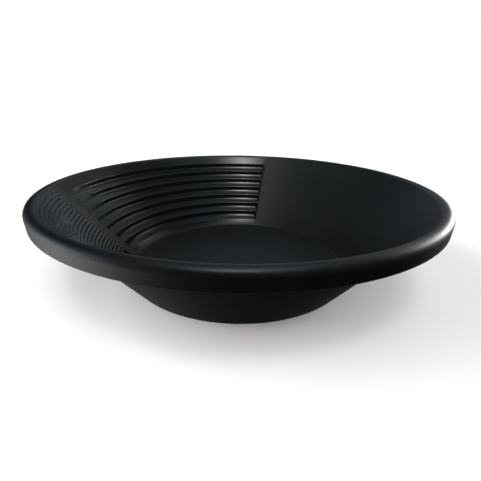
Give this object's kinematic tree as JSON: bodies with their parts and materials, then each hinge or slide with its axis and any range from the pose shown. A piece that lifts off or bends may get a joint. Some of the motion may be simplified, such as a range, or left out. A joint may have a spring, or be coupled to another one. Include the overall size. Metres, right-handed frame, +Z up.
{
  "type": "gold pan",
  "caption": "Round black plastic gold pan with sloping wall, rolled rim, flat base, a bank of coarse riffles and a bank of fine riffles split by a plain rib.",
  "frame": {"origin": "centre of the flat underside, on the surface that the pan stands on", "axes": "+Z up out of the bowl along the pan's axis; -Y towards the person panning; the coarse riffles fill the far left of the wall and the fine riffles the near left"},
  "size_m": [0.381, 0.381, 0.0885],
  "materials": {
    "black_polypropylene": "satin moulded skin, a little glossier in the riffles and on the rim"
  },
  "bodies": {
    "root": {"pan_body": "black_polypropylene"}
  },
  "joints": []
}
